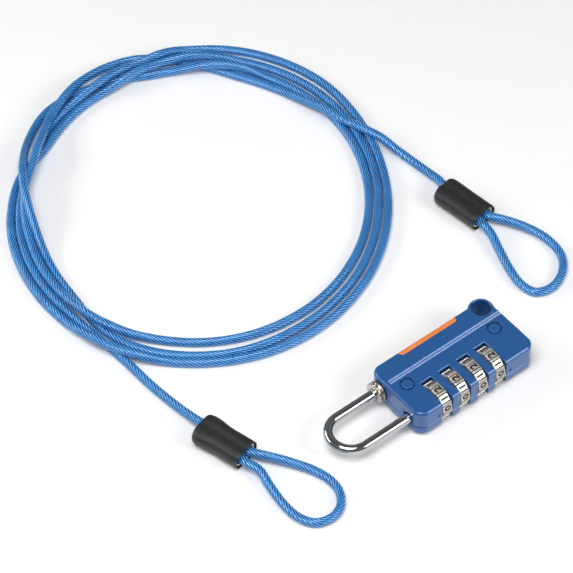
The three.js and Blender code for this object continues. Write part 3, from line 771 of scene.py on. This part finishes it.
def hollows():
    """Fresh cutting tools for everything that passes through both halves."""
    end = -CASE_X - 1
    heel, toe, spigot = WIRE + GAP, WIRE + GAP, SPIGOT_R + 0.2
    tools = [
        bar_x("tool", [(CHAMBER_X0, CHAMBER_R), (CHAMBER_X1, CHAMBER_R)], HEEL_Y, 48),
        bar_x("tool", [(CHAMBER_X1 - 1, 2.75), (31.4, 2.75)], HEEL_Y, 32),
        bar_x("tool", [(end, heel), (CHAMBER_X0 + 1, heel)], HEEL_Y, 48),
        bar_x("tool", [(end, WIRE + 0.7), (-CASE_X + 0.3, WIRE + 0.7), (-CASE_X + 0.7, heel)], HEEL_Y, 48),
        box_tool(end, -CASE_X + 1.2, HEEL_Y, HEEL_Y + WIRE + 1.5, AXIS_Z - 0.8, AXIS_Z + 1.3),
        bar_x("tool", [(end, toe), (TOE_END + 1, toe)], TOE_Y, 48),
        bar_x("tool", [(end, spigot), (SPIGOT_X + GAP, spigot)], TOE_Y, 48),
        box_tool(-22.1, 17.2, -1.25, 1.3, AXIS_Z - 1.9, AXIS_Z + 1.9),
        post_z("tool", [(-1, LUG_HOLE), (CASE_Z + 1, LUG_HOLE)], LUG_X, LUG_Y, 72),
        flared_hole(LUG_HOLE, LUG_X, LUG_Y, 0.22, CASE_Z, 72),
    ]
    for x in DIAL_XS:
        x0, x1 = x - SLOT_HALF, x + SLOT_HALF
        tools.append(box_tool(x0, x1, -CASE_Y - 1, SLOT_EDGE, -1, CASE_Z + 1))
        tools.append(bar_x("tool", [(x0, SLOT_R), (x1, SLOT_R)], HEEL_Y, 80))
        tools.append(flared_slot(x0, x1, -CASE_Y - 3, SLOT_EDGE, 0.2, CASE_Z))
    for x in RIVET_XS:
        tools.append(post_z("tool", [(-1, 1.8), (CASE_Z + 1, 1.8)], x, RIVET_Y, 32))
        tools.append(post_z("tool", [(CASE_Z - 1.6, RIVET_RING), (CASE_Z + 1, RIVET_RING)], x, RIVET_Y, 64))
        tools.append(flared_hole(RIVET_RING, x, RIVET_Y, 0.12, CASE_Z, 64))
        tools.append(post_z("tool", [(-1, RIVET_HEAD - 0.2), (1.4, RIVET_HEAD - 0.2)], x, RIVET_Y, 48))
    return tools


def strip_outline(grow):
    """The orange strip from above: slanted at the shackle's end, rounded at the other."""
    y0, y1 = CASE_Y - INLAY_DEPTH - grow, CASE_Y + grow
    x0, x1 = INLAY_X0 - grow, INLAY_X1 + grow
    return [(x0, y1), (x0 + 2, y0)] + arc(x1 - 1.6, y0 + 1.6, 1.6, -90, 0, 8) + [(x1, y1)]


def groove_tools():
    """Two saw-tooth lines side by side: a wide slope that faces the dials and a steep wall opposite."""
    section = [
        (0.1, 0.09), (-0.75, -GROOVE_DEPTH), (-0.85, -GROOVE_DEPTH), (-1.1, 0.09), (-1.1, 0.5), (0.1, 0.5),
    ]
    tools = []
    for y in (GROOVE_Y + 1.25, GROOVE_Y - 0.05):
        tools.append(prism_x([(y + dy, CASE_Z + dz) for dy, dz in section], GROOVE_X0, CASE_X + 1))
    return tools


def build_case(material):
    front = case_half(
        "case_front_shell",
        [(PARTING + PARTING_GAP, 0.2), (PARTING + PARTING_GAP + 0.2, 0.0)] + rounded(CASE_Z, EDGE, 1),
        material,
    )
    strip = strip_outline(0.1)
    recess = loft("tool", [[(x, y, z) for x, y in strip] for z in (PARTING + 0.8, CASE_Z + 1)], smooth=False)
    marks = [
        prism_y([(x + dx, AXIS_Z + dz) for dx, dz in corners])
        for x, corners in (
            (MARK_XS[0], [(-0.7, -1.0), (-0.1, -1.1), (0.8, 1.0), (0.1, 1.2)]),
            (MARK_XS[1], circle(0.75, 24)),
        )
    ]
    toe_channel = box_tool(-CASE_X + 1, TOE_END + 1, TOE_Y - 1.9, TOE_Y + 1.9, 0, AXIS_Z)
    cut(front, [*hollows(), recess, *groove_tools(), toe_channel, *marks])
    back = case_half(
        "case_back_shell",
        rounded(0, BACK_EDGE, -1) + [(PARTING - PARTING_GAP - 0.2, 0.0), (PARTING - PARTING_GAP, 0.2)],
        material,
    )
    cut(back, hollows())
    for piece in (front, back):
        crisp(piece)
    return front, back


def build_inlay(material):
    """Strip whose outer edge follows the case's own rounded rim, set a hair below it."""
    levels = [(PARTING + 0.9, 0.1), (PARTING + 1.0, 0.0)]
    levels += [(z - 0.06, amount + 0.02) for z, amount in rounded(CASE_Z, EDGE, 1)]
    rings = []
    for z, amount in levels:
        ring = strip_outline(0)
        rings.append([(x, min(y, CASE_Y - amount), z) for x, y in ring])
    inlay = loft("orange_strip", rings, material)
    crisp(inlay, 40)
    return inlay


def build_rivet(name, x, material):
    top = CASE_Z
    head = RIVET_HEAD
    profile = [
        (0.12, 0.01), (0.12, head - 0.75), (0.25, head - 0.6), (1, head - 0.6), (1.1, 1.5), (top - 1.3, 1.5),
        (top - 1.2, head), (top - 0.32, head), (top - 0.14, head - 0.06), (top - 0.03, head - 0.2),
        (top, head - 0.5), (top, 0.6), (top, 0.01),
    ]
    rivet = post_z(name, profile, x, RIVET_Y, 64, material)
    crisp(rivet, 50)
    return rivet


# ---------------------------------------------------------------- dials
FIGURE_TALL, FIGURE_WIDE = 3.6, 2.5
FIGURE_LIFT = 0.03
CELL_MIDDLE = DIAL_FLAT * math.cos(math.radians(12))
CELL_ANGLE = 36
RIB_GROOVE = 7.35
POINTS_PER_CELL, PAINTED_SHADE_POINTS = 10, (2, 3, 8, 9)  # the points painted near-black as shade are the groove bottoms beside each rib


def dial_section():
    """Ten flat cells with a rib between each pair and a fine groove on either side of every rib."""
    shape = [
        (-0.315, DIAL_FLAT), (0.315, DIAL_FLAT), (0.33, RIB_GROOVE), (0.39, RIB_GROOVE),
        (0.405, DIAL_R - 0.12), (0.44, DIAL_R), (0.56, DIAL_R), (0.595, DIAL_R - 0.12),
        (0.61, RIB_GROOVE), (0.67, RIB_GROOVE),
    ]
    section = []
    for i in range(10):
        for side, radius in shape:
            angle = math.radians(90 - FIGURE_TURN + CELL_ANGLE * (i + side))
            section.append((radius * math.cos(angle), radius * math.sin(angle)))
    return section


def build_dial(name, x, material):
    outer = dial_section()
    start = math.atan2(outer[0][1], outer[0][0])
    bore = circle(DIAL_BORE, len(outer), start)

    def ring(section, along, scale=1.0):
        return [(x + along, HEEL_Y + y * scale, AXIS_Z + z * scale) for y, z in section]

    rings = [
        ring(bore, -DIAL_HALF), ring(outer, -DIAL_HALF, 0.955), ring(outer, -DIAL_HALF + 0.15, 0.985),
        ring(outer, -DIAL_HALF + 0.4), ring(outer, DIAL_HALF - 0.4), ring(outer, DIAL_HALF - 0.15, 0.985),
        ring(outer, DIAL_HALF, 0.955), ring(bore, DIAL_HALF),
    ]
    dial = loft(name, rings, material, closed=True)
    # painted shade: the groove bottoms beside each rib are marked here for a near-black colour
    painted_groove_shade = [
        1.0 if r % POINTS_PER_CELL in PAINTED_SHADE_POINTS and 1 <= ring_number <= 6 else 0.0
        for ring_number in range(len(rings))
        for r in range(len(outer))
    ]
    dial.data.attributes.new("painted_groove_shade", "FLOAT", "POINT").data.foreach_set("value", painted_groove_shade)
    crisp(dial, 25)
    return dial


def figure_outline_mesh(text):
    """Flat figure from the built-in font as (points, faces), one unit tall and centred."""
    curve = bpy.data.curves.new("figure", "FONT")
    curve.body = text
    curve.resolution_u = 6
    curve.offset = 0.045
    holder = bpy.data.objects.new("figure", curve)
    bpy.context.collection.objects.link(holder)
    depsgraph = bpy.context.evaluated_depsgraph_get()
    mesh = bpy.data.meshes.new_from_object(holder.evaluated_get(depsgraph))
    points = [(v.co.x, v.co.y) for v in mesh.vertices]
    faces = [tuple(p.vertices) for p in mesh.polygons]
    bpy.data.objects.remove(holder)
    bpy.data.meshes.remove(mesh)
    left, right = min(p[0] for p in points), max(p[0] for p in points)
    low, high = min(p[1] for p in points), max(p[1] for p in points)
    tall = high - low
    return [((u - (left + right) / 2) / tall, (v - (low + high) / 2) / tall) for u, v in points], faces


def build_figures(name, x, shapes, material):
    """The ten figures of a dial, standing a hair above its cells; their tops point to the shackle."""
    wide = max(u for u, v in shapes[0][0]) * 2
    points, faces = [], []
    for k, (outline, triangles) in enumerate(shapes):
        angle = math.radians(90 - FIGURE_TURN + CELL_ANGLE * (2 - k))
        first = len(points)
        for u, v in outline:
            right = u / wide * FIGURE_WIDE
            y = CELL_MIDDLE * math.cos(angle) + right * math.sin(angle)
            z = CELL_MIDDLE * math.sin(angle) - right * math.cos(angle)
            y += HEEL_Y + FIGURE_LIFT * math.cos(angle)
            z += AXIS_Z + FIGURE_LIFT * math.sin(angle)
            points.append((x - v * FIGURE_TALL, y, z))
        faces += [tuple(first + i for i in face) for face in triangles]
    return mesh_piece(name, points, faces, material, smooth=False)


# ---------------------------------------------------------------- shackle and collar
def build_shackle(material):
    """Bent wire: toe leg, round bow, heel leg, then the spindle with a fin beside each dial."""
    middle, bend = (HEEL_Y + TOE_Y) / 2, (TOE_Y - HEEL_Y) / 2
    line = [(TOE_END, TOE_Y, 0), (-40.0, TOE_Y, 0), (BOW_X, TOE_Y, 0)]
    for k in range(1, 48):
        turn = math.pi / 2 + math.pi * k / 48
        line.append((BOW_X + bend * math.cos(turn), middle + bend * math.sin(turn), turn - math.pi / 2))
    line += [(BOW_X, HEEL_Y, math.pi), (-40.0, HEEL_Y, math.pi), (SPINDLE_END, HEEL_Y, math.pi)]
    rings = []
    for x, y, turn in line:
        across = Vector((-math.sin(turn), math.cos(turn), 0))
        rings.append([(x + across.x * c, y + across.y * c, AXIS_Z + s) for c, s in circle(WIRE, 48)])
    shackle = loft("shackle_wire", rings, material)
    fins = [
        box_tool(x + 4.4, x + 5.6, HEEL_Y - 0.8, HEEL_Y + 0.8, AXIS_Z, AXIS_Z + 3.6) for x in DIAL_XS
    ]
    cut(shackle, fins, "UNION")
    seat = [
        (CLIP_X - 0.7, WIRE + 1), (CLIP_X + 0.7, WIRE + 1),
        (CLIP_X + 0.7, CLIP_SEAT_R), (CLIP_X - 0.7, CLIP_SEAT_R),
    ]
    rings = [[(x, HEEL_Y + c, AXIS_Z + s) for c, s in circle(r, 48)] for x, r in seat]
    cut(shackle, [loft("tool", rings, closed=True)])
    crisp(shackle, 40)
    return shackle


def build_collar(material):
    """Spool of two flanges round the toe leg, with notches in its rim and a spigot in the case."""
    bore = WIRE + 0.15
    middle = (COLLAR_X0 + COLLAR_X1) / 2
    profile = [
        (COLLAR_X0, bore), (COLLAR_X0, COLLAR_R - 0.7), (COLLAR_X0 + 0.12, COLLAR_R - 0.3),
        (COLLAR_X0 + 0.35, COLLAR_R - 0.05), (COLLAR_X0 + 0.5, COLLAR_R), (middle - 0.4, COLLAR_R),
        (middle - 0.25, COLLAR_R - 0.12), (middle - 0.2, COLLAR_NECK), (middle + 0.2, COLLAR_NECK),
        (middle + 0.25, COLLAR_R - 0.12), (middle + 0.4, COLLAR_R), (COLLAR_X1 - 0.2, COLLAR_R),
        (COLLAR_X1, COLLAR_R - 0.2), (COLLAR_X1, SPIGOT_R), (SPIGOT_X, SPIGOT_R), (SPIGOT_X, bore),
    ]
    rings = [[(x, TOE_Y + c, AXIS_Z + s) for c, s in circle(r, 72)] for x, r in profile]
    collar = loft("collar_spool", rings, material, closed=True)
    notches = []
    for y, z in circle(COLLAR_R + 0.15, COLLAR_NOTCHES):
        rings = [
            [(x, TOE_Y + y + c, AXIS_Z + z + s) for c, s in circle(COLLAR_NOTCH_R, 20)]
            for x in (COLLAR_X0 - 1, middle + 0.1)
        ]
        notches.append(loft("tool", rings))
    cut(collar, notches)
    crisp(collar, 40)
    return collar


# ---------------------------------------------------------------- stage
def build_floor():
    size = 1500.0
    corners = [(-size, -size, FLOOR), (size, -size, FLOOR), (size, size, FLOOR), (-size, size, FLOOR)]
    floor = mesh_piece("floor", corners, [(0, 1, 2, 3)])
    m = Nodes("floor_look", (0.9, 0.9, 0.9), 0.75)
    m.roughness(m.span(m.noise(60), 0.7, 0.82))
    floor.data.materials.append(m.material)


def area_light(name, place, aim, size, power, shape="RECTANGLE", size_y=None):
    data = bpy.data.lights.new(name, "AREA")
    data.shape = shape
    data.size = size
    data.size_y = size_y or size
    data.energy = power
    light = bpy.data.objects.new(name, data)
    bpy.context.collection.objects.link(light)
    light.location = place
    light.rotation_euler = (Vector(place) - Vector(aim)).to_track_quat("Z", "Y").to_euler()


def build_lights():
    world = bpy.data.worlds.new("studio")
    bpy.context.scene.world = world
    world.use_nodes = True
    tree = world.node_tree
    direction = tree.nodes.new("ShaderNodeTexCoord").outputs["Generated"]
    split = tree.nodes.new("ShaderNodeSeparateXYZ")
    tree.links.new(direction, split.inputs["Vector"])
    ramp = tree.nodes.new("ShaderNodeValToRGB")
    # How bright the surroundings are from the horizon (0) up to straight overhead (1)
    stops = [(0.0, 0.6), (0.02, 0.04), (0.3, 0.06), (0.55, 0.3), (0.85, 0.12), (1.0, 0.12)]
    while len(ramp.color_ramp.elements) < len(stops):
        ramp.color_ramp.elements.new(0.5)
    for element, (place, level) in zip(ramp.color_ramp.elements, stops):
        element.position = place
        element.color = (level, level, level, 1)
    tree.links.new(split.outputs["Z"], ramp.inputs["Fac"])
    tree.links.new(ramp.outputs["Color"], tree.nodes["Background"].inputs["Color"])
    area_light("overhead", (-0.35, -0.15, 1.0), (-0.02, 0.08, 0), 0.6, 9.0)
    area_light("key", (0.45, -0.75, 0.6), (-0.02, 0.05, 0), 0.5, 5.0)
    area_light("rim", (-0.6, 0.75, 0.45), (-0.02, 0.08, 0), 0.7, 3.5, size_y=0.25)


# ---------------------------------------------------------------- assembly
def dress(piece, body, slot, *nodes):
    """Puts a piece on its body and hides the nodes that it stands for; slot, the name of its finish, is not
    used.
    """
    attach(piece, body)
    if nodes:
        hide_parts(*nodes)


def recolor(node, material):
    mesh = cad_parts[node].data
    mesh.materials.clear()
    mesh.materials.append(material)


bpy.context.scene.view_settings.view_transform = "Standard"
make_camera()
build_lights()
build_floor()

# The cable and what is crimped on it
coat = cable_coat()
rubber = sleeve_rubber()
pressed = ferrule_metal()
cable, cable_path = build_cable(coat)
cable_nodes = ["cable_coil", "cable_tail_a", "cable_tail_b", "cable_loop_a", "cable_loop_b"]
dress(cable, "cable", "cable_coat", *cable_nodes)
fittings = []
for key, bulge in (("a", 0.02), ("b", 0.1)):
    sleeve = build_sleeve(key, rubber, bulge)
    dress(sleeve, "cable", "sleeve_rubber", f"sleeve_{key}")
    ferrule = build_ferrule(key, pressed)
    dress(ferrule, "cable", "ferrule_metal", f"ferrule_{key}")
    fittings += [sleeve, ferrule]

# The padlock
paint = case_paint()
front, back = build_case(paint)
dress(front, "case", "case_paint", "case_front")
dress(back, "case", "case_paint", "case_back")
dress(build_inlay(orange_plastic()), "case", "inlay", "side_inlay")
for number, x in enumerate(RIVET_XS, 1):
    dress(build_rivet(f"rivet_head_{number}", x, paint), "case", "rivet_paint", f"rivet_{number}")

nickel = dial_nickel()
black = figure_paint()
shapes = [figure_outline_mesh(str(k)) for k in range(10)]
brass = bush_brass()
for number, x in enumerate(DIAL_XS, 1):
    body = f"dial_{number}_set"
    dress(build_dial(f"number_dial_{number}", x, nickel), body, "dial_metal", f"dial_{number}")
    dress(build_figures(f"figures_{number}", x, shapes, black), body, "dial_metal")
    recolor(f"dial_bush_{number}", brass)

dress(build_shackle(chrome()), "shackle_set", "shackle_chrome", "shackle")
dress(build_collar(collar_nickel()), "collar", "collar_nickel", "toe_collar")
steel = spring_steel()
for node in ("shackle_clip", "shackle_spring", "detent_spring"):
    recolor(node, steel)
